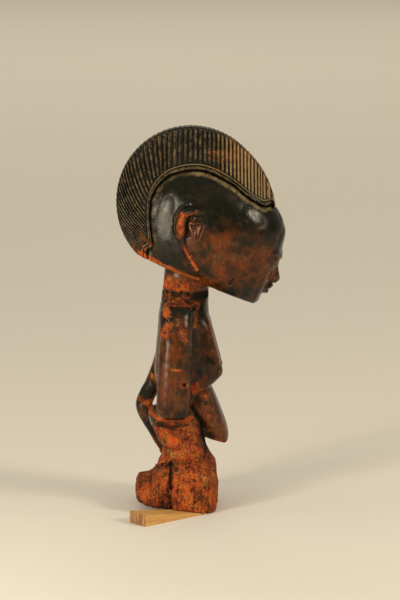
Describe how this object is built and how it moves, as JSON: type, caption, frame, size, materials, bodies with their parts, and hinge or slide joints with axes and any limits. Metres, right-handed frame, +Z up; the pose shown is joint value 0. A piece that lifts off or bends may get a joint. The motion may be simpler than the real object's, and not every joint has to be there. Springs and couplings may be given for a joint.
{
  "type": "ibeji figure",
  "caption": "Carved wooden twin figure, broken off at the hips, with a tall ridged crest of hair, standing with a thin wooden wedge under its near edge.",
  "frame": {"origin": "on the flat underside of the front hip block, below the middle of the body", "axes": "+X the way the figure faces, +Y its left side, +Z up along its height"},
  "size_m": [0.0953, 0.084, 0.2189],
  "materials": {
    "figure_wood": "dark polished wood with a handled patina and red-orange powder in its hollows",
    "wedge_wood": "pale bare softwood, sawn"
  },
  "bodies": {
    "root": {"ibeji_figure": "figure_wood", "wooden_wedge": "wedge_wood"}
  },
  "joints": []
}
